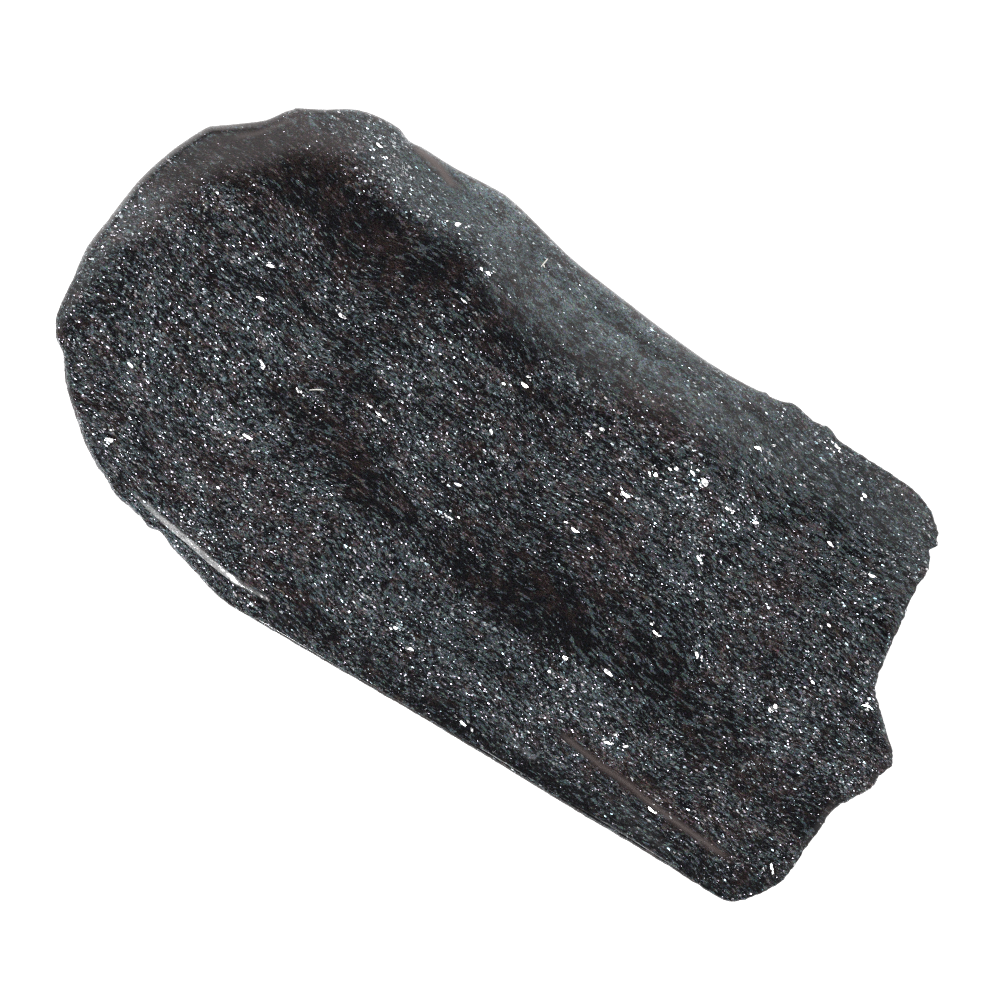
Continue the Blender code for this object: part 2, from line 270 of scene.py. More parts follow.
def edges_round(outline):
    """The edge's five sizes, as in EDGE_STATIONS, and its share of crease at each outline point."""
    count = len(outline)
    stations = []
    for place, *sizes in EDGE_STATIONS:
        nearest = min(range(count), key=lambda i: (outline[i] - Vector(place)).length)
        stations.append((nearest, sizes))
    stations.sort()
    edges = []
    for i in range(count):
        after = next((k for k, (at, _) in enumerate(stations) if at > i), 0)
        start, start_sizes = stations[after - 1]
        end, end_sizes = stations[after]
        amount = eased(((i - start) % count) / ((end - start) % count))
        edges.append([a + (b - a) * amount for a, b in zip(start_sizes, end_sizes)])
    line = crease_curve()
    for point, edge in zip(outline, edges):
        creased = crease_share(point.x, point.y)
        inset = crease_inset(point, line) if creased else None
        if inset is None:
            creased = 0.0
        else:
            edge[0] += (inset - edge[0]) * creased
        edge.append(creased)
    return edges


def crease_share(x, y):
    """1 where the crease line shapes the bevel, 0 where EDGE_STATIONS do."""
    if y > 0:
        return 0.0
    start = (x - CREASE_FROM) / (CREASE_FULL - CREASE_FROM)
    end = (CREASE_TO - x) / (CREASE_TO - CREASE_WANE)
    return eased(clamped(min(start, end)))


def crease_curve():
    return [curve_point(CREASE[i - 1], CREASE[i], CREASE[i + 1], CREASE[i + 2], step / CREASE_STEPS)
            for i in range(1, len(CREASE) - 2) for step in range(CREASE_STEPS)]


def crease_inset(point, line):
    """How far in from this point of the outline the crease line lies, or None."""
    inward = (middle_line_point(point) - point).normalized()
    for start, end in zip(line, line[1:]):
        side = Vector((-(end - start).y, (end - start).x))
        reach = (start - point).dot(side) / inward.dot(side)
        along = (point + inward * reach - start).dot(end - start) / (end - start).length_squared
        if 0 <= along <= 1 and reach > 0:
            return reach
    return None


def crease_fall(above, x):
    """How far the top has turned down this far above the crease line, or below it if negative."""
    gentle, steep, reach = between(CREASE_SHAPE, x)
    if above >= reach:
        return 0.0
    part = min(1, 1 - above / reach)
    fall = gentle * reach * (part + ((1 - part) ** (CREASE_RISE + 1) - 1) / (CREASE_RISE + 1))
    return fall + steep * max(0, -above)


def crown_height(x, y):
    height = THICKNESS
    height -= CROWN_FALL[0] * ((x - CROWN_CENTRE[0]) / (LENGTH / 2)) ** 2
    height -= CROWN_FALL[1] * ((y - CROWN_CENTRE[1]) / (WIDTH / 2)) ** 2
    for (centre_x, centre_y), (radius_x, radius_y), depth in HOLLOWS:
        away = ((x - centre_x) / radius_x) ** 2 + ((y - centre_y) / radius_y) ** 2
        height -= depth * math.exp(-away)
    return height


def ledge_height(x, y):
    """How much the ledge adds here: all of its rise below its path, dying out further down."""
    if not LEDGE[0][0] < x < LEDGE[-1][0]:
        return 0.0
    rise = eased(clamped(0.5 + (between(LEDGE, x)[0] - y) / LEDGE_WIDTH))
    left_fade, right_fade = LEDGE_END_FADES
    fade = min(1, (x - LEDGE[0][0]) / left_fade, (LEDGE[-1][0] - x) / right_fade)
    return LEDGE_RISE * rise * fade


def glint_line_at(x, y):
    """How much of a painted pale reflection line lies here, from 0 to 1."""
    most = 0.0
    for path, half_width, strength in GLINT_LINES:
        if not path[0][0] - GLINT_LINE_END < x < path[-1][0] + GLINT_LINE_END:
            continue
        away = min(off_segment(x, y, a, b) for a, b in zip(path, path[1:]))
        if away < GLINT_LINE_REACH * half_width:
            end = min(math.hypot(x - path[k][0], y - path[k][1]) for k in (0, -1))
            most = max(most, strength * min(1, end / GLINT_LINE_END) * math.exp(-(away / half_width) ** 2))
    return most


def off_segment(x, y, start, end):
    """How far (x, y) is from a straight piece of a line."""
    dx, dy = end[0] - start[0], end[1] - start[1]
    share = clamped(((x - start[0]) * dx + (y - start[1]) * dy) / (dx * dx + dy * dy))
    return math.hypot(x - start[0] - share * dx, y - start[1] - share * dy)


def soft_hinge(amount, softness):
    """0 below 0 and the amount itself above it, with the corner rounded off."""
    if amount <= -softness:
        return 0.0
    if amount >= softness:
        return amount
    return (amount + softness) ** 2 / (4 * softness)


def bevel_fall(inset, width, fall, radius, creased, x):
    """How far the bevel and the rounded edge below it lie under the crown, this far in."""
    drop = fall * soft_hinge(1 - inset / width, BEVEL_SOFTNESS)
    if creased:
        drop += (crease_fall(inset - width, x) - drop) * creased
    if inset < SHOULDER_WIDTH:
        strength = clamped((fall - SHOULDER_FROM) / (SHOULDER_FULL - SHOULDER_FROM))
        drop += SHOULDER_FALL * strength * (1 - inset / SHOULDER_WIDTH) ** 2
    if inset < radius:
        drop += radius - math.sqrt(radius ** 2 - (radius - inset) ** 2)
    return drop


def polish_ripple(inset, x, y):
    """How much the polish rises here."""
    trough = step = 0.0
    if y > 0:
        near, far = (math.tanh((inset - edge) / TROUGH_SOFTNESS) for edge in TROUGH_INSETS)
        trough = (far - near) * max(0, 1 - (x / TROUGH_HALF) ** 2)
    swell = sum(part * noise.noise(Vector((x / long, y / wide, seed))) for long, wide, seed, part in SWELLS)
    if y < 0 and STEP_FROM < x < STEP_TO and inset < STEP_REACH:
        wave_length, seed = STEP_WAVE
        step = math.tanh((inset - STEP_INSET) / STEP_SOFTNESS)
        step *= 0.5 + noise.noise(Vector((x / wave_length, 0, seed)))
        step *= min(1, (x - STEP_FROM) / STEP_FADE)
    still = 1 - STILL_SHARE * crease_share(x, y) * max(0, 1 - inset / STILL_REACH)
    return TROUGH_DEPTH * trough + (SWELL_HEIGHT * swell * min(1, inset) + STEP_HEIGHT * step) * still


def middle_line_point(point):
    """Where on the slab's middle line the rings close in on from this point."""
    return Vector((MIDDLE_HALF * math.tanh(MIDDLE_PULL * point.x / MIDDLE_HALF), 0))


def moved_in(point, inset):
    return point + (middle_line_point(point) - point).normalized() * inset


def tooth_depth(point, height, relief):
    """How deep the rim is nibbled here: small chips, deeper where the stone is broken."""
    depth = 0.0
    for size, deep in TEETH:
        depth += deep * (1 + noise.noise(Vector((point.x, point.y, height * 0.5)) / size))
    return depth * (TEETH_LEAST + relief)


def roughness_at(point, height):
    """0 to 2: how far the broken wall is eaten in here."""
    return 1 + noise.noise(Vector((point.x, point.y, height)) / RELIEF_GRAIN)


def lip_share(point):
    """1 where the painted rim highlight widens into a lip on the round end's rim, and 0 away from it."""
    inside = (LIP_RIGHT - point.x, point.y - LIP_LOW, LIP_HIGH - point.y)
    return math.prod(clamped(reach / LIP_END_FADE) for reach in inside)


def wall_polish(relief):
    return max(0, 1 - 3 * relief)


def wall_ring(outline, edges, share):
    """A ring of the tucked wall, at this share of the way from the base to the girdle."""
    height = GIRDLE_HEIGHT * share
    tuck = 1 - math.sqrt(1 - (1 - share) ** 2)
    ring = []
    for point, (_, _, _, undercut, relief, _) in zip(outline, edges):
        broken = relief * 2 * share * (1 - share) * roughness_at(point, height)
        broken += tooth_depth(point, height, relief) * min(1, 3 * share)
        flat = moved_in(point, undercut * tuck + broken)
        ring.append((raised(flat, height), wall_polish(relief) * min(1, 2 * share), 0, 0))
    return ring


def upper_wall_ring(outline, edges, share):
    """A ring of the wall, at this share of the way from the girdle to the rim."""
    ring = []
    for point, (width, fall, radius, _, relief, creased) in zip(outline, edges):
        rim = crown_height(point.x, point.y) - bevel_fall(0, width, fall, radius, creased, point.x)
        height = GIRDLE_HEIGHT + (rim - GIRDLE_HEIGHT) * share
        broken = WALL_DISH * share * (1 - share) * (1 + WALL_BREAK * relief * roughness_at(point, height))
        flat = moved_in(point, broken + tooth_depth(point, GIRDLE_HEIGHT, relief))
        # a painted pale highlight along the top of the wall, by the rim
        rim_highlight = max(0, 1 - (rim - height) / RIM_HIGHLIGHT_WIDTH)
        ring.append((raised(flat, height), wall_polish(relief), 0, rim_highlight))
    return ring


def bevel_ring(outline, edges, inset):
    """A ring of the edge and the bevel, this far in from the rim."""
    chipped = max(0, 1 - inset / CHIP_REACH)
    drawn = clamped((CREASE_RING_TO - inset) / CREASE_RING_FADE)
    ring = []
    for point, edge in zip(outline, edges):
        width, fall, radius, _, relief, creased = edge
        here = inset * (1 + creased * (width / CREASE_RING - 1) * drawn)
        flat = moved_in(point, here + tooth_depth(point, GIRDLE_HEIGHT, relief) * chipped)
        height = crown_height(flat.x, flat.y) + ledge_height(flat.x, flat.y)
        height += polish_ripple(here, flat.x, flat.y)
        height -= bevel_fall(here, width, fall, radius, creased, point.x)
        ring.append((raised(flat, height), *bevel_finish(point, flat, here, edge)))
    return ring


def bevel_finish(point, flat, here, edge):
    """The bevel's polish, its painted sheen (a painted reflection) and its painted rim highlight, this far
    in from a point of the outline.
    """
    width, fall, _, _, relief, creased = edge
    polish = 1 - min(1, 4 * relief) * max(0, 1 - here / CHIP_REACH)
    polish *= 1 - (1 - LINE_POLISH) * creased * max(0, 1 - here / LINE_REACH)
    polish *= 1 - TAIL_WEAR * creased * clamped((point.x - TAIL_FROM) / TAIL_FADE)
    polish *= 1 - STEEP_WEAR * creased * clamped((width - here) / STEEP_FADE)
    # the painted sheen: a painted reflection of the bright surroundings on the deep bevels
    painted_sheen = clamped((fall - SHEEN_FALL) / SHEEN_FALL_FADE) * clamped(SHEEN_REACH - here / width)
    painted_sheen *= 1 - SHEEN_THINNING * clamped((flat.x - SHEEN_THINS_FROM) / SHEEN_THINS_OVER)
    lip = lip_share(point)
    # the painted rim highlight, wider on the round end's lip
    rim_highlight = max(0, 1 - here / RIM_HIGHLIGHT_WIDTH, lip * clamped((LIP_WIDTH - here) / LIP_FADE))
    groove = lip * math.exp(-((here - GROOVE_INSET) / GROOVE_HALF) ** 2)
    return polish * (1 - GROOVE_DULLS * groove), painted_sheen * (1 - GROOVE_CLEARS * groove), rim_highlight


def inner_ring(outline, share):
    """A ring of the top: the innermost bevel ring drawn in to this share towards the middle line."""
    innermost = BEVEL_INSETS[-1]
    ring = []
    for point in outline[::2]:
        flat = middle_line_point(point).lerp(moved_in(point, innermost), share)
        height = crown_height(flat.x, flat.y) + polish_ripple(innermost, flat.x, flat.y)
        ring.append((raised(flat, height), 1, 0, 0))
    return ring


def stone_rings(outline, edges):
    """The rings from the base, up the wall, over the bevel and in over the top, as lists of (point,
    polish, painted_sheen, rim_highlight): painted_sheen is a painted reflection, 1 on the deep bevels, and
    rim_highlight is a painted highlight, 1 along the rim."""
    rings = [wall_ring(outline, edges, level / WALL_LEVELS) for level in range(WALL_LEVELS)]
    rings += [upper_wall_ring(outline, edges, share) for share in UPPER_SHARES]
    rings += [bevel_ring(outline, edges, inset) for inset in RIM_INSETS + BEVEL_INSETS]
    rings += [inner_ring(outline, share) for share in INNER_SHARES]
    return rings


def loft(rings):
    """The vertices, faces and values of a closed mesh through the rings. A ring may have half as many
    points as the one below it."""
    vertices, values, faces, starts = [], [], [], []
    for ring in rings:
        starts.append(len(vertices))
        vertices += [point * MM for point, *_ in ring]
        values += [amounts for _, *amounts in ring]
    for k in range(len(rings) - 1):
        low, high = starts[k], starts[k + 1]
        many, few = len(rings[k]), len(rings[k + 1])
        if many == few:
            for i in range(many):
                j = (i + 1) % many
                faces.append((low + j, low + i, high + i, high + j))
        else:
            for i in range(few):
                a, b, c = low + 2 * i, low + 2 * i + 1, low + (2 * i + 2) % many
                d, e = high + i, high + (i + 1) % few
                faces += [(b, a, d), (b, d, e), (c, b, e)]
    last = len(rings[-1])
    faces.append(tuple(range(len(rings[0]))))
    faces.append(tuple(starts[-1] + i for i in reversed(range(last))))
    return vertices, faces, values


# Soft blotches of the stone's fabric: centre, radii, turn in degrees, strength
BLOTCHES = {}
# How many flakes show, and how light they are
BLOTCHES["richness"] = [
    (-20, 11.6, 11, 3.2, -3, -0.42), (-27, 12, 5, 3, 20, -0.15), (-14, 11.5, 5, 3.2, 0, -0.15),
    (-1, 12, 10, 1.3, -3, -0.18), (-12, -4.7, 6, 2.2, -20, -0.34), (8, -6.8, 5, 2.4, 0, -0.44),
    (-1, -6.5, 6, 1.6, 0, -0.25), (20, -7, 9, 3, -8, -0.28), (17, -3.6, 3.5, 2, 0, -0.15),
    (35, -9.5, 2.5, 2.5, 0, -0.3), (-3, 3.4, 6, 0.9, -18, -0.08), (12, -18, 22, 1.1, 0, -0.28),
    (-33.5, 9.5, 5, 2.6, 60, -0.22), (-27, 15.5, 5, 2.6, 25, -0.14), (21, 11.5, 6, 1.3, 0, -0.12),
    (6, -4, 17, 6, 0, -0.12), (-4, 9.3, 9, 2.2, -22, -0.22), (-24, -9.5, 10, 4.5, 0, 0.04),
    (-19, -18.1, 8, 1, -11, 0.3), (24, 10, 8, 4.5, -10, -0.1), (14, 8.5, 4, 3, 0, 0.12),
    (14, -9, 2.5, 3.5, 0, 0.12), (-21, 16.7, 6.5, 2.8, -12, 0.42), (-20, 4.5, 9, 3.5, -10, -0.1),
    (-14, 0, 5, 2.5, 0, -0.08), (30, -14, 6, 3, 0, -0.12),
    (-22, -10, 12, 4.5, 0, 0.05), (2, 14.8, 8, 1.5, -4, -0.16), (20, -12.5, 8, 2, 0, 0.04),
]
# Where the stone is browner (positive) or bluer (negative)
BLOTCHES["warmth"] = [
    (-34.5, 6, 2.5, 5, 0, 0.6), (-31.5, 11.5, 3, 4, 0, 0.8), (-26, 15, 5, 2.6, 10, 0.9),
    (-18, 10, 8, 2.5, 0, 0.35), (7, 11, 4, 2, 0, 0.8), (9.3, 1, 2.4, 5, 25, 0.6),
    (22, 3.5, 3.5, 5, 0, 0.4), (29.5, -10, 3.5, 4, 0, 0.35), (37, -3, 1.8, 1.8, 0, 0.5),
    (-20, -12, 9, 3, 0, 0.3), (-12, -16, 2.5, 2, 0, 0.3), (-12, -4, 4, 2, 0, 0.35),
    (22, -14.6, 8.5, 0.9, -6, 0.9), (17.5, -2, 3.5, 6, 0, -0.4), (15, -8.5, 5, 3, 0, -0.3),
    (4, -12.5, 10, 3, 0, -0.25), (-16, 17, 6, 2.4, 0, -0.9), (14, -17.6, 16, 1, 0, -0.5),
    (0, 15.2, 14, 2.2, -6, -0.5), (22, 14, 9, 2.5, -6, -0.4),
]
# Where flakes lie together so that they flash towards the key light together
BLOTCHES["flash"] = [
    (-24, 3.2, 1.1, 3.4, 12, 0.8), (-17, -1.7, 2.6, 1.2, 20, 0.9), (-11.4, -0.8, 1.4, 1, 0, 0.9),
    (-26, -2.2, 6, 1.4, 0, 0.3), (-2.8, 7.3, 1.7, 2, 0, 0.9), (-8, 6.2, 2.5, 3, 0, 0.5),
    (4, 7.5, 1.4, 1.2, 0, 0.8), (8.4, 4.4, 1.2, 1, 0, 0.7), (13.2, 8.6, 1.8, 1.2, 0, 0.8),
    (19.5, 7, 2.4, 2.2, -30, 0.6), (6.2, -0.2, 1.5, 1.2, 0, 0.8), (-2.6, -3.2, 1.1, 3.4, 25, 0.7),
    (14.5, -8, 1.5, 1.3, 0, 0.8), (11, -9.2, 2, 1, 0, 0.5), (17.6, -13, 1.8, 1, 0, 0.7),
    (4.4, -12.8, 2.5, 1.2, 0, 0.6), (-0.5, -13.8, 2.2, 1.6, 0, 0.6), (-28.3, -13.8, 1.5, 1.1, 0, 0.8),
    (27, 1.2, 2, 1.4, 0, 0.5), (25.5, 4.5, 2.5, 3, 0, 0.35), (33, -1, 1.6, 5, 0, 0.5),
    (33.8, -14.2, 1.2, 1.4, 0, 0.6), (-23.6, 17.6, 2.4, 1.3, 0, 0.8), (-17.8, 18.6, 1.6, 0.9, 0, 0.7),
    (20.6, 16.4, 1.8, 1, 0, 0.6), (-20, 12, 14, 4, 0, -0.7), (2, 15, 11, 2.5, -5, -0.2),
    (8, -6, 6, 3, 0, -0.5), (22, -8, 6, 3, 0, -0.4), (-33, 8, 4, 8, -20, -0.7),
]
# Where drawn-out teal patches veil the stone
BLOTCHES["veil"] = [
    (22, 10, 15, 6, -10, 1), (0, 14.5, 17, 3.2, -5, 0.9), (-20, 17.5, 6, 1.6, 0, 0.8),
    (10, 3, 10, 4, -10, 0.5), (4, -12.5, 12, 3, 0, 0.5), (17, -6, 6, 5, 0, 0.5),
    (-28, -4, 8, 6, 0, 0.4), (-33.6, 9.6, 1.2, 1, 0, 1), (31, 8, 3, 6, 0, 0.5),
    (-18, 3, 9, 3, 0, 0.4),
]
BLOTCH_FALL, BLOTCH_CUT = 1.2, 6  # how fast a blotch dies out, and where it ends

# The largest flakes: middle, half length, half width, turn in degrees
LARGE_FLAKES = [
    (13.3, 8.6, 0.44, 0.36, -31), (-28.3, -13.5, 0.42, 0.26, 21), (8.5, 4.4, 0.5, 0.2, -7),
    (14.8, -8.2, 0.58, 0.2, -9), (6.6, -0.1, 0.45, 0.18, 1), (0.5, -14.9, 0.4, 0.2, 10),
    (17.8, -12.9, 0.46, 0.17, 17), (-2.8, 7.5, 0.4, 0.2, 0), (27.4, -3.5, 0.29, 0.23, -43),
    (-17.9, 4.5, 0.44, 0.17, -7), (-11.4, -0.5, 0.36, 0.12, -10), (-10.7, -0.7, 0.28, 0.12, -10),
    (-14, 15.5, 0.32, 0.21, 31), (-17.7, -2.3, 0.34, 0.18, -10), (16.4, -3.6, 0.5, 0.13, -5),
    (16, 7.8, 0.34, 0.21, 15), (4.2, 7.8, 0.33, 0.19, 9), (33.9, -14.4, 0.34, 0.18, -42),
    (-19.2, -7.5, 0.5, 0.16, -1), (3.6, 6.9, 0.4, 0.14, -6), (-24.1, 2.3, 0.48, 0.13, 5),
    (24.3, 9.7, 0.43, 0.14, -12), (23.4, -15.6, 0.4, 0.14, -9), (20.7, 16.5, 0.36, 0.15, -14),
    (20, -3.3, 0.36, 0.2, -40), (16.1, 3.2, 0.34, 0.17, -19), (33.5, 0.4, 0.4, 0.15, 15),
    (12.1, 8.7, 0.34, 0.15, -19), (24.6, 14.4, 0.3, 0.16, -15), (11.3, -9, 0.3, 0.19, -7),
    (7.2, -17.7, 0.36, 0.16, -8), (-10.4, 10.6, 0.37, 0.12, -11), (28.4, 9.3, 0.34, 0.15, 8),
    (18.4, 8, 0.31, 0.15, 32), (-24.8, 4.9, 0.4, 0.16, 16), (-2.5, -4.5, 0.4, 0.14, -4),
    (-3.1, -1.9, 0.37, 0.14, 13), (-21.2, -2, 0.42, 0.14, -22), (-30, -7.6, 0.36, 0.18, -13),
    (28.9, -0.3, 0.26, 0.16, -18), (15.4, 13.1, 0.36, 0.16, 11), (10.8, 8.3, 0.24, 0.2, -6),
    (9.7, 7, 0.22, 0.21, -13), (-1.3, -14.1, 0.26, 0.16, 14), (-3.1, 3, 0.25, 0.17, -48),
    (-9.9, 13.5, 0.26, 0.15, -13), (-22.6, 17.5, 0.38, 0.12, -13), (27.6, 4.2, 0.25, 0.15, -15),
]
FLAKE_SHARES = (0.8, 0.68)  # a plate's size against its flake's length and width
FLAKE_SHADES = (0.12, 0.36)
FLAKE_LEAN = 0.05  # how far it may lean from the key light
FLAKE_BEND = 0.25
FLAKE_WAVES = (2, 3, 5)  # how many waves go round its outline
FLAKE_WAVE_SIZES = (0.04, 0.26)  # the least, and the greatest times their number
FLAKE_CORNERS = 18
FLAKE_LIFT, FLAKE_DEPTH = 0.008, 0.05
SATELLITES = 4  # small flakes by each of the largest
SMALL_SPREAD, SMALL_APART = (2.4, 2), 0.1  # in sizes of the large one, and so much more across
SMALL_SIZES = (0.05, 0.14)
SMALL_LENGTHS, SMALL_WIDTH = (1, 1.8), 0.7
SMALL_TURN = 30
SMALL_SHADES = (0.06, 0.25)
SMALL_LEAN = 0.1
ABOVE = 20.0  # over everything

# ---- lint: the paths of the threads, of which the last two are one forked fibre ----
FIBRES = [
    [(-17, -1.8), (-16.75, -1.6), (-16.5, -1.43), (-16.25, -1.3), (-16, -1.2)],
    [(-6.56, 17.02), (-6.6, 16.75), (-6.64, 16.45), (-6.68, 16.16)],
    [(-6.64, 16.47), (-6.52, 16.36), (-6.4, 16.28)],
]
FIBRE_RADIUS = 0.06
FIBRE_LIFT = 0.7 * FIBRE_RADIUS
FIBRE_TIP = 0.5  # of its radius
FIBRE_SIDES = 8


def blotch_sum(blotches, x, y):
    total = 0.0
    for centre_x, centre_y, radius_x, radius_y, turn, strength in blotches:
        along, across = rotated(x - centre_x, y - centre_y, -turn)
        away = (along / radius_x) ** 2 + (across / radius_y) ** 2
        if away < BLOTCH_CUT:
            total += strength * math.exp(-away * BLOTCH_FALL)
    return total


# ---- shader nodes ----
def set_inputs(node, inputs):
    """Set a node's inputs, each to a socket or a value. None leaves one as it is."""
    for key, value in inputs.items():
        if isinstance(value, bpy.types.NodeSocket):
            node.id_data.links.new(value, node.inputs[key])
        elif value is not None:
            node.inputs[key].default_value = value


def put(kind, *inputs, tree=None, out=0, **settings):
    """The output of a new node with these inputs, in the same tree as them if no tree is given."""
    if tree is None:
        tree = next(value.id_data for value in inputs if isinstance(value, bpy.types.NodeSocket))
    node = tree.nodes.new(kind)
    for name, value in settings.items():
        setattr(node, name, value)
    set_inputs(node, dict(enumerate(inputs)))
    return node.outputs[out]


def attribute(tree, name, out=2):
    return put("ShaderNodeAttribute", tree=tree, out=out, attribute_name=name)


def compute(operation, *values):
    return put("ShaderNodeMath", *values, operation=operation)


def times(value, factor):
    return compute("MULTIPLY", value, factor)


def times_plus(value, factor, more):
    return compute("MULTIPLY_ADD", value, factor, more)


def vector(operation, *values):
    return put("ShaderNodeVectorMath", *values, operation=operation)


def unit_sum(first, second):
    return vector("NORMALIZE", vector("ADD", first, second))


def scaled(value, factor):
    return vector("SCALE", value, None, None, factor)


def centred(colour):
    """A random colour as a step to any side."""
    return vector("SUBTRACT", colour, (0.5, 0.5, 0.5))


def mix(amount, first, second, kind="RGBA"):
    out = ("FLOAT", "VECTOR", "RGBA").index(kind)
    unused = [None] * (2 * out + 1)
    return put("ShaderNodeMix", amount, *unused, first, second, out=out, data_type=kind)


def ramp(value, start, end, low=0, high=1, smooth=True):
    """value from start to end taken to low to high, and held beyond."""
    return put("ShaderNodeMapRange", value, start, end, low, high, clamp=True,
               interpolation_type="SMOOTHSTEP" if smooth else "LINEAR")


def cloud(place, size, detail, out=0):
    """Soft noise with blotches of about this size."""
    return put("ShaderNodeTexNoise", place, None, 1 / size, detail, 0.55, out=out)


def stretched(place, size, shift=(0, 0, 0), turn=0):
    """Coordinates in which a cell of this size is one unit."""
    turned = (0, 0, math.radians(turn))
    return put("ShaderNodeMapping", place, shift, turned, size, vector_type="TEXTURE")


def layer(grain, name, out=0):
    """One of the LAYERS of soft noise along the fabric."""
    size, shift, detail = LAYERS[name]
    return cloud(stretched(grain, size, shift), 1, detail, out)


def cells(place, size, shift=(0, 0, 0)):
    """One layer of flakes: how far each spot is from its flake's middle, and three random numbers."""
    node = put("ShaderNodeTexVoronoi", stretched(place, size, shift)).node
    node.inputs["Scale"].default_value = 1.0
    return node.outputs["Distance"], node.outputs["Color"]


def tilted(normal, randoms, spread):
    """The normal turned by a flake's own random amount."""
    return unit_sum(normal, scaled(centred(randoms), spread))


# ---- the stone's material, in millimetres ----
LINEATION = -7.0  # the fabric's turn in degrees
WAVER_SIZE, WAVER = 16, 3.6  # how long its bends are, and how far they go
COAT_RELIEF = 0.08  # how much the polished surface leans from grain to grain
KEY_TILT = (-0.04, -0.322, 0)  # what added to straight up points halfway to the key light
# Layers of soft noise along the fabric: size along, across and deep, shift and detail
LAYERS = {
    "streak": ((1.3, 0.22, 0.4), (4, 9, 1), 2),
    "blotch": ((1.6, 1, 1), (0, 0, 0), 3),
    "scales": ((0.44, 0.21, 0.2), (2, 3, 5), 3.6),
    "drawn": ((1.3, 0.3, 0.4), (6, 2, 8), 4),
    "patch": ((0.95, 0.58, 0.5), (3, 3, 1), 5),
    "broad": ((3.2, 1.3, 1.3), (5, 1, 1), 2),
    "gaps": ((0.26, 0.17, 0.17), (8, 5, 3), 3),
    "grit": ((0.14, 0.09, 0.1), (7, 2, 4), 1),
    "hue": ((0.2, 0.14, 0.14), (1, 8, 4), 1),
    "relief": ((0.4, 0.22, 0.22), (1, 6, 2), 3),
}
MIDDLE_FLAKE = (0.31, 0.145, 0.16)
FINE_FLAKE, FINE_SHIFT = (0.17, 0.09, 0.09), (3.1, 1.7, 0.4)
RAGGED = 0.13  # the size and the reach of the middle flakes' uneven edges
# Colours where the stone is cool, and where it is brown
DARK = (0.0084, 0.0082, 0.0098, 1), (0.0205, 0.015, 0.0147, 1)
TEAL = (0.0365, 0.0405, 0.0465, 1), (0.048, 0.0385, 0.041, 1)
PALE_TEAL = (0.112, 0.14, 0.15, 1), (0.12, 0.098, 0.1, 1)
DRAWN_TEAL = (0.064, 0.083, 0.09, 1), (0.074, 0.062, 0.064, 1)
# The painted sheen's colours, a painted reflection on the deep bevels, in its brown patches and in its teal
# ones
PAINTED_SHEEN_COLOURS = (0.043, 0.035, 0.036, 1), (0.106, 0.132, 0.142, 1)
# the painted reflection lines' pale brown colour
GLINT_LINE_COLOUR = (0.132, 0.106, 0.101, 1)
# the painted rim highlight's pale colour
RIM_HIGHLIGHT_COLOUR = (0.2, 0.185, 0.178, 1)
# The flakes' tints, from bluish to reddish
MIDDLE_TINTS = (0.64, 0.99, 1.09, 1), (1.24, 0.88, 0.92, 1)
FINE_TINTS = (0.82, 1.02, 1.06, 1), (1.06, 0.91, 1.12, 1)


def fabric(place):
    """Coordinates along the stone's fabric, which runs a little down to the right and wavers."""
    bend = centred(cloud(place, WAVER_SIZE, 1, out=1))
    bent = vector("ADD", place, scaled(bend, WAVER))
    return stretched(bent, (1, 1, 1), turn=LINEATION)


def flake_share(grain, values):
    """How many flakes show and how bright they are, in drawn-out clouds and streaks."""
    clouds = cloud(stretched(grain, (2, 1, 1)), 2.2, 3)
    share = compute("ADD", times_plus(clouds, 0.95, 0.13), values["richness"])
    share = compute("ADD", share, times_plus(layer(grain, "streak"), 0.9, -0.45))
    # fewer flakes show under the painted sheen and on the painted reflection lines
    share = times_plus(values["painted_sheen"], -0.12, share)
    share = times_plus(values["glint_line"], -0.4, share)
    return compute("MINIMUM", compute("MAXIMUM", share, 0.06), 1.2)


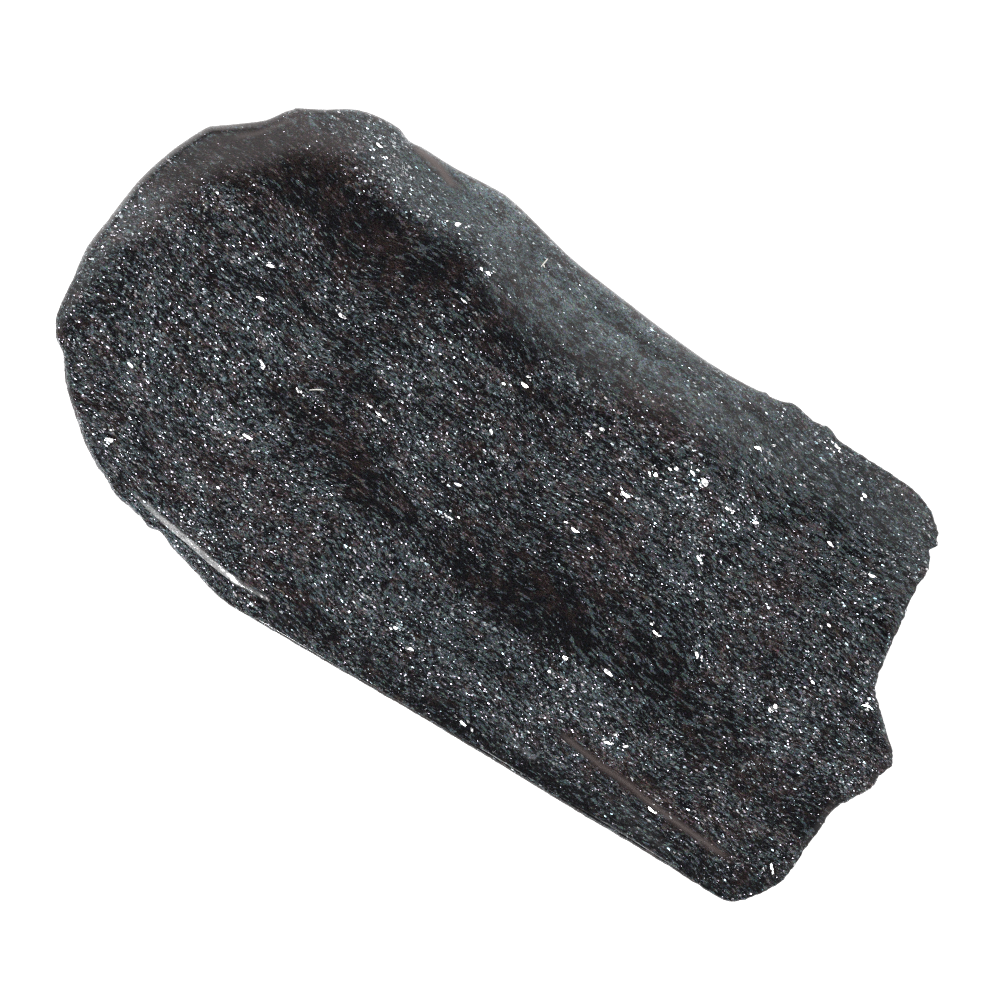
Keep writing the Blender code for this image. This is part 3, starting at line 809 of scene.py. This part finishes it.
def body_colour(grain, share, values):
    """The dark body, with brown and teal scales in it, a painted sheen (painted reflection) over the deep
    bevels, painted reflection lines and a painted highlight along the rim.
    """
    warmth, painted_sheen, veil = values["warmth"], values["painted_sheen"], values["veil"]
    brown = ramp(times_plus(warmth, 0.25, layer(grain, "blotch")), 0.475, 0.67)
    scales = compute("ADD", layer(grain, "scales"), times_plus(share, 0.28, -0.145))
    teal = mix(ramp(scales, 0.55, 0.625), mix(brown, *TEAL), mix(brown, *PALE_TEAL))
    body = mix(ramp(scales, 0.445, 0.59), mix(brown, *DARK), teal)

    drawn = times_plus(veil, 0.085, layer(grain, "drawn"))
    body = scaled(body, ramp(veil, 0.2, 1, 1, 0.68))
    body = mix(ramp(drawn, 0.58, 0.635), body, mix(brown, *DRAWN_TEAL))

    # the painted sheen: a painted reflection, in brown and teal patches, over the deep bevels
    patch = times_plus(warmth, -0.12, layer(grain, "patch"))
    sheen_colour = mix(ramp(patch, 0.487, 0.52), *PAINTED_SHEEN_COLOURS)
    sheen_colour = scaled(sheen_colour, ramp(layer(grain, "broad"), 0.35, 0.65, 0.6, 1.4))
    sheen_cover = times(painted_sheen, ramp(layer(grain, "gaps"), 0.42, 0.53, 0.3, 1))
    sheen_cover = times(sheen_cover, ramp(values["richness"], 0, 0.35, 1, 0.3))
    body = mix(sheen_cover, body, sheen_colour)

    # each grain has its own hue and brightness, more evenly under the painted sheen
    hue = scaled(centred(layer(grain, "hue", out=1)), 1.3)
    body = vector("MULTIPLY", body, vector("ADD", hue, (1, 1, 1)))
    rough = ramp(layer(grain, "grit"), 0.25, 0.75, -0.95, 1.05, smooth=False)
    even = times_plus(painted_sheen, -0.42, 1)
    body = scaled(body, times_plus(rough, even, 1.05))
    # painted pale reflection lines, then the painted pale rim highlight
    body = mix(times(values["glint_line"], 0.85), body, GLINT_LINE_COLOUR)
    return mix(times(values["rim_highlight"], 0.75), body, RIM_HIGHLIGHT_COLOUR)


def middle_flakes(place, grain, share, warmth):
    """Where the middle layer's flakes are, their colour and their random numbers."""
    ragged = scaled(centred(cloud(place, RAGGED, 1, out=1)), RAGGED)
    distance, randoms = cells(vector("ADD", grain, ragged), MIDDLE_FLAKE)
    first, second, third = put("ShaderNodeSeparateColor", randoms).node.outputs[:3]
    here = compute("LESS_THAN", distance, compute("SUBTRACT", share, third))
    reddish = ramp(times_plus(warmth, 0.4, first), 0.3, 1.1, smooth=False)
    light = times_plus(compute("POWER", second, 2), 0.43, 0.09)
    light = times(light, times_plus(share, 0.9, 0.45))
    tint = mix(ramp(light, 0.15, 0.5, 0, 0.75), mix(reddish, *MIDDLE_TINTS), (1, 1, 1, 1))
    return here, scaled(tint, light), randoms


def fine_flakes(grain, share):
    """The same for the fine layer, which lies over the middle one."""
    distance, randoms = cells(grain, FINE_FLAKE, FINE_SHIFT)
    first, second, third = put("ShaderNodeSeparateColor", randoms).node.outputs[:3]
    here = compute("LESS_THAN", distance, compute("SUBTRACT", share, second))
    light = times_plus(compute("POWER", first, 3), 0.31, 0.1)
    return here, scaled(mix(third, *FINE_TINTS), light), randoms


def new_material(name):
    """A new material, its node tree and its shader."""
    material = bpy.data.materials.new(name)
    material.use_nodes = True
    return material, material.node_tree, material.node_tree.nodes["Principled BSDF"]


def stone_material():
    material, tree, shader = new_material("specular_hematite")
    place = scaled(put("ShaderNodeTexCoord", tree=tree, out=3), 1 / MM)
    normal = put("ShaderNodeNewGeometry", tree=tree, out=1)
    values = {name: attribute(tree, name) for name in ("polish", "painted_sheen", "rim_highlight", "glint_line", *BLOTCHES)}
    grain = fabric(place)
    share = flake_share(grain, values)
    middle, middle_colour, middle_randoms = middle_flakes(place, grain, share, values["warmth"])
    fine, fine_colour, fine_randoms = fine_flakes(grain, share)
    colour = mix(middle, body_colour(grain, share, values), middle_colour)
    colour = mix(fine, colour, fine_colour)

    # flakes lie more level than the bevels, and where they flash they lean to the key light together
    steep = put("ShaderNodeSeparateXYZ", normal, out=2)
    layered = mix(ramp(steep, 0.6, 0.86, 0, 0.55), normal, (0, 0, 1), "VECTOR")
    flash = values["flash"]
    spread = times_plus(flash, -0.3, 0.72)
    towards = times_plus(compute("MAXIMUM", flash, 0), 0.8, 0.26)
    lean = vector("ADD", layered, scaled(KEY_TILT, towards))
    flake_normal = mix(middle, normal, tilted(lean, middle_randoms, spread), "VECTOR")
    flake_normal = mix(fine, flake_normal, tilted(lean, fine_randoms, spread), "VECTOR")

    metal = compute("MAXIMUM", middle, fine)
    relief = scaled(centred(layer(grain, "relief", out=1)), COAT_RELIEF)
    set_inputs(shader, {
        "Base Color": colour, "Metallic": metal, "Roughness": mix(metal, 0.6, 0.19, "FLOAT"),
        "Normal": flake_normal, "Coat Weight": values["polish"], "Coat Normal": unit_sum(normal, relief),
        "Specular IOR Level": 0, "Coat IOR": 1.5, "Coat Roughness": 0.04,
    })
    return material


# ---- the pieces ----
def new_piece(name, vertices, faces, material):
    mesh = bpy.data.meshes.new(name)
    mesh.from_pydata(vertices, [], faces)
    mesh.materials.append(material)
    piece = bpy.data.objects.new(name, mesh)
    bpy.context.scene.collection.objects.link(piece)
    return piece


def set_value(mesh, name, amounts):
    mesh.attributes.new(name, "FLOAT", "POINT").data.foreach_set("value", amounts)


def make_stone():
    outline = stone_outline()
    edges = edges_round(outline)
    vertices, faces, values = loft(stone_rings(outline, edges))
    stone = new_piece("hematite_slab", vertices, faces, stone_material())
    mesh = stone.data
    # the polish, the painted sheen (a painted reflection) and the painted rim highlight
    for name, amounts in zip(("polish", "painted_sheen", "rim_highlight"), zip(*values)):
        set_value(mesh, name, amounts)
    places = [(p.x / MM, p.y / MM) if p.z > 0 else None for p in vertices]  # none on the base
    for name, blotches in BLOTCHES.items():
        set_value(mesh, name, [blotch_sum(blotches, *place) if place else 0.0 for place in places])
    # the painted pale reflection lines
    set_value(mesh, "glint_line", [glint_line_at(*place) if place else 0.0 for place in places])
    mesh.shade_smooth()
    mesh.polygons[-2].use_smooth = False  # the base is one flat face
    return stone


def surface_tree(stone):
    return BVHTree.FromPolygons([v.co for v in stone.data.vertices],
                                [p.vertices for p in stone.data.polygons])


def point_on(surface, x, y):
    """The stone's surface straight below (x, y), or None."""
    hit = surface.ray_cast(Vector((x, y, ABOVE)) * MM, Vector((0, 0, -1)))[0]
    return None if hit is None else hit / MM


def add_loft(vertices, faces, rings):
    """Add the closed mesh through these rings of points."""
    points, sides, _ = loft([[(point,) for point in ring] for ring in rings])
    faces += [tuple(len(vertices) + corner for corner in side) for side in sides]
    vertices += points


def flake_material():
    material, tree, shader = new_material("hematite_flake")
    place = scaled(put("ShaderNodeTexCoord", tree=tree, out=3), 1 / MM)
    ripple = scaled(centred(cloud(place, 0.3, 2, out=1)), 0.34)
    lean = vector("ADD", attribute(tree, "lean", out=1), ripple)
    set_inputs(shader, {
        "Base Color": scaled((1, 1, 1.01), attribute(tree, "shade")), "Metallic": 1,
        "Roughness": 0.2, "Normal": unit_sum(lean, (0, 0, 1)),
    })
    return material


def flake_outline(dice, x, y, long, wide, turn):
    """A bent, uneven oval: the plan of one flake."""
    bend = dice.uniform(-FLAKE_BEND, FLAKE_BEND)
    least, most = FLAKE_WAVE_SIZES
    waves = [(k, dice.uniform(least, most / k), dice.uniform(0, 2 * math.pi)) for k in FLAKE_WAVES]
    points = []
    for i in range(FLAKE_CORNERS):
        angle = 2 * math.pi * i / FLAKE_CORNERS
        reach = 1 + sum(size * math.sin(k * angle + phase) for k, size, phase in waves)
        along = long * reach * math.cos(angle)
        across = wide * reach * math.sin(angle) + bend * along * along / long
        step_x, step_y = rotated(along, across, turn)
        points.append((x + step_x, y + step_y))
    return points


def flake_plates(dice):
    """The place, size, turn, shade and lean of every plate: the largest flakes and small ones by them."""
    plates = []
    for x, y, long, wide, turn in LARGE_FLAKES:
        sides = (FLAKE_SHARES[0] * long, FLAKE_SHARES[1] * wide)
        plates.append((x, y, *sides, turn, dice.uniform(*FLAKE_SHADES), FLAKE_LEAN))
        for _ in range(SATELLITES):
            apart = dice.gauss(0, SMALL_SPREAD[0] * long)
            side = dice.gauss(0, SMALL_SPREAD[1] * wide + SMALL_APART)
            step_x, step_y = rotated(apart, side, turn)
            size = dice.uniform(*SMALL_SIZES)
            plates.append((x + step_x, y + step_y, size * dice.uniform(*SMALL_LENGTHS),
                           size * SMALL_WIDTH, turn + dice.uniform(-SMALL_TURN, SMALL_TURN),
                           dice.uniform(*SMALL_SHADES), SMALL_LEAN))
    return plates


def make_large_flakes(surface):
    """The largest flakes, as thin uneven plates sunk in the stone's surface, with smaller ones by them."""
    dice = random.Random(7)
    vertices, faces, leans, shades = [], [], [], []
    for x, y, long, wide, turn, shade, loose in flake_plates(dice):
        lean = Vector(KEY_TILT) + Vector((dice.uniform(-loose, loose), dice.uniform(-loose, loose), 0))
        hits = [point_on(surface, *spot) for spot in flake_outline(dice, x, y, long, wide, turn)]
        if None in hits:
            continue
        add_loft(vertices, faces, [[hit + Vector((0, 0, lift)) for hit in reversed(hits)]
                                   for lift in (-FLAKE_DEPTH, FLAKE_LIFT)])
        leans += list(lean) * (2 * FLAKE_CORNERS)
        shades += [shade] * (2 * FLAKE_CORNERS)
    flakes = new_piece("large_flakes", vertices, faces, flake_material())
    flakes.data.attributes.new("lean", "FLOAT_VECTOR", "POINT").data.foreach_set("vector", leans)
    set_value(flakes.data, "shade", shades)
    return flakes


def make_fibres(surface):
    """Two short lint fibres that lie on the polish, as thin round threads."""
    vertices, faces = [], []
    angles = [2 * math.pi * i / FIBRE_SIDES for i in range(FIBRE_SIDES)]
    for path in FIBRES:
        last = len(path) - 1
        centres = [point_on(surface, *spot) + Vector((0, 0, FIBRE_LIFT)) for spot in path]
        rings = []
        for k, centre in enumerate(centres):
            along = (centres[min(k + 1, last)] - centres[max(k - 1, 0)]).normalized()
            side = along.cross(Vector((0, 0, 1))).normalized()
            over = along.cross(side)
            radius = FIBRE_RADIUS * (FIBRE_TIP if k in (0, last) else 1)
            rings.append([centre + (side * math.cos(a) + over * math.sin(a)) * radius for a in angles])
        add_loft(vertices, faces, rings)
    material, _, shader = new_material("lint")
    set_inputs(shader, {"Base Color": (0.85, 0.83, 0.77, 1), "Roughness": 0.9})
    return new_piece("lint_fibres", vertices, faces, material)


# ---- the studio, in metres ----
FLOOR_HALF = 3.0
FLOOR_GLOW = 0.8  # which makes it even and white
# The sky's brightness by the sine of the height above the horizon
SKY = [(0, 1.25), (0.5, 1.15), (0.72, 1), (0.8, 0.7), (0.88, 0.32), (0.945, 0.11), (1, 0.045)]
DIM_SIDE = (0.14, -0.99, 0)  # the sky is darker on this side, above the first of these heights,
DIM_FROM, DIM_FULL, DIMMING, DIM_LEAST = 0.1, 0.45, 1.4, 0.05
FILL_FROM, FILL_FULL, FILL = 0.52, 0.25, 0.8  # and brighter low down on the other side
KEY_ZENITH, KEY_AZIMUTH = math.radians(36), math.radians(-95)
KEY_DIRECTION = Vector((math.sin(KEY_ZENITH) * math.cos(KEY_AZIMUTH),
                        math.sin(KEY_ZENITH) * math.sin(KEY_AZIMUTH), math.cos(KEY_ZENITH)))
KEY_DISTANCE = 2.0
KEY_RADIUS = KEY_DISTANCE * math.tan(math.radians(3.2))
KEY_RADIANCE = 46.0
GLOW_RADIANCE = 22.0
GLOW_SPREAD = math.radians(5.8)
# The camera, in millimetres: it looks straight down, with the slab turned in its view
CAMERA_TURN = 32.0
CAMERA_DISTANCE = 620.0  # from the girdle
CAMERA_RIGHT, CAMERA_UP = -0.3336, -1.178  # in its view, from the slab's middle
VIEW_WIDTH = 79.4228
SENSOR_WIDTH = 36.0


def make_floor():
    material, _, shader = new_material("floor_white")
    set_inputs(shader, {"Base Color": (0.9, 0.9, 0.9, 1), "Roughness": 0.9,
                        "Emission Color": (1, 1, 1, 1), "Emission Strength": FLOOR_GLOW})
    corners = [(FLOOR_HALF * x, FLOOR_HALF * y, 0) for x, y in ((-1, -1), (1, -1), (1, 1), (-1, 1))]
    return new_piece("floor", corners, [(0, 1, 2, 3)], material)


def sky_level(tree):
    """How bright the sky is in each direction, with the key light's soft glow."""
    direction = put("ShaderNodeTexCoord", tree=tree)
    up = put("ShaderNodeSeparateXYZ", direction, out=2)
    grade = put("ShaderNodeValToRGB", up)
    points = grade.node.color_ramp.elements
    for place, _ in SKY[1:-1]:
        points.new(place)
    for point, (_, bright) in zip(points, SKY):
        point.color = (bright, bright, bright, 1)

    towards = vector("DOT_PRODUCT", direction, DIM_SIDE).node.outputs[1]
    dim = times(compute("MAXIMUM", towards, 0), ramp(up, DIM_FROM, DIM_FULL))
    dimmed = compute("MAXIMUM", DIM_LEAST, times_plus(dim, -DIMMING, 1))
    level = times(grade, dimmed)
    other = compute("MAXIMUM", times(towards, -1), 0)
    fill = times(other, ramp(up, FILL_FROM, FILL_FULL))
    level = times_plus(fill, FILL, level)

    near = vector("DOT_PRODUCT", direction, tuple(KEY_DIRECTION)).node.outputs[1]
    off = times(compute("SUBTRACT", near, 1), 2 / GLOW_SPREAD ** 2)
    return times_plus(compute("EXPONENT", off), GLOW_RADIANCE, level)


def light_scene():
    world = bpy.data.worlds.new("studio")
    world.use_nodes = True
    set_inputs(world.node_tree.nodes["Background"], {"Color": sky_level(world.node_tree), "Strength": 1})
    bpy.context.scene.world = world

    lamp = bpy.data.lights.new("key", "AREA")
    lamp.shape = "DISK"
    lamp.size = 2 * KEY_RADIUS
    lamp.energy = KEY_RADIANCE * (math.pi * KEY_RADIUS) ** 2
    key = bpy.data.objects.new("key", lamp)
    key.location = KEY_DIRECTION * KEY_DISTANCE
    key.rotation_euler = KEY_DIRECTION.to_track_quat("Z", "Y").to_euler()
    bpy.context.scene.collection.objects.link(key)


def make_camera():
    place = (*rotated(CAMERA_RIGHT, CAMERA_UP, CAMERA_TURN), CAMERA_DISTANCE + GIRDLE_HEIGHT)
    data = bpy.data.cameras.new("camera")
    data.sensor_width = SENSOR_WIDTH
    data.lens = SENSOR_WIDTH * CAMERA_DISTANCE / VIEW_WIDTH
    data.clip_start, data.clip_end = 0.01, 20.0
    camera = bpy.data.objects.new("camera", data)
    camera.location = Vector(place) * MM
    camera.rotation_euler = (0, 0, math.radians(CAMERA_TURN))
    bpy.context.scene.collection.objects.link(camera)
    bpy.context.scene.camera = camera


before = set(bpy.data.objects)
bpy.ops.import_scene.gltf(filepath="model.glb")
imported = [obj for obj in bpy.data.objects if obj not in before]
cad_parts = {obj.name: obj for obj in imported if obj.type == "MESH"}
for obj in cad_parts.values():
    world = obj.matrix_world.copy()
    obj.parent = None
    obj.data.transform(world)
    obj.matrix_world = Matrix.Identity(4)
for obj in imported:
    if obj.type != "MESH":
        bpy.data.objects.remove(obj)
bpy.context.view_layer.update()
stone = make_stone()
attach(stone, "root")
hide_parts("specular_hematite")
surface = surface_tree(stone)
flakes = make_large_flakes(surface)
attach(flakes, "root")
fibres = make_fibres(surface)
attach(fibres, "root")
make_floor()
light_scene()
make_camera()
bpy.context.scene.view_settings.view_transform = "Standard"
# each flake glints in a pixel or two, and denoising would wipe them out
bpy.context.scene.cycles.use_denoising = False
bpy.context.scene.cycles.filter_width = 1.2
bpy.context.view_layer.update()
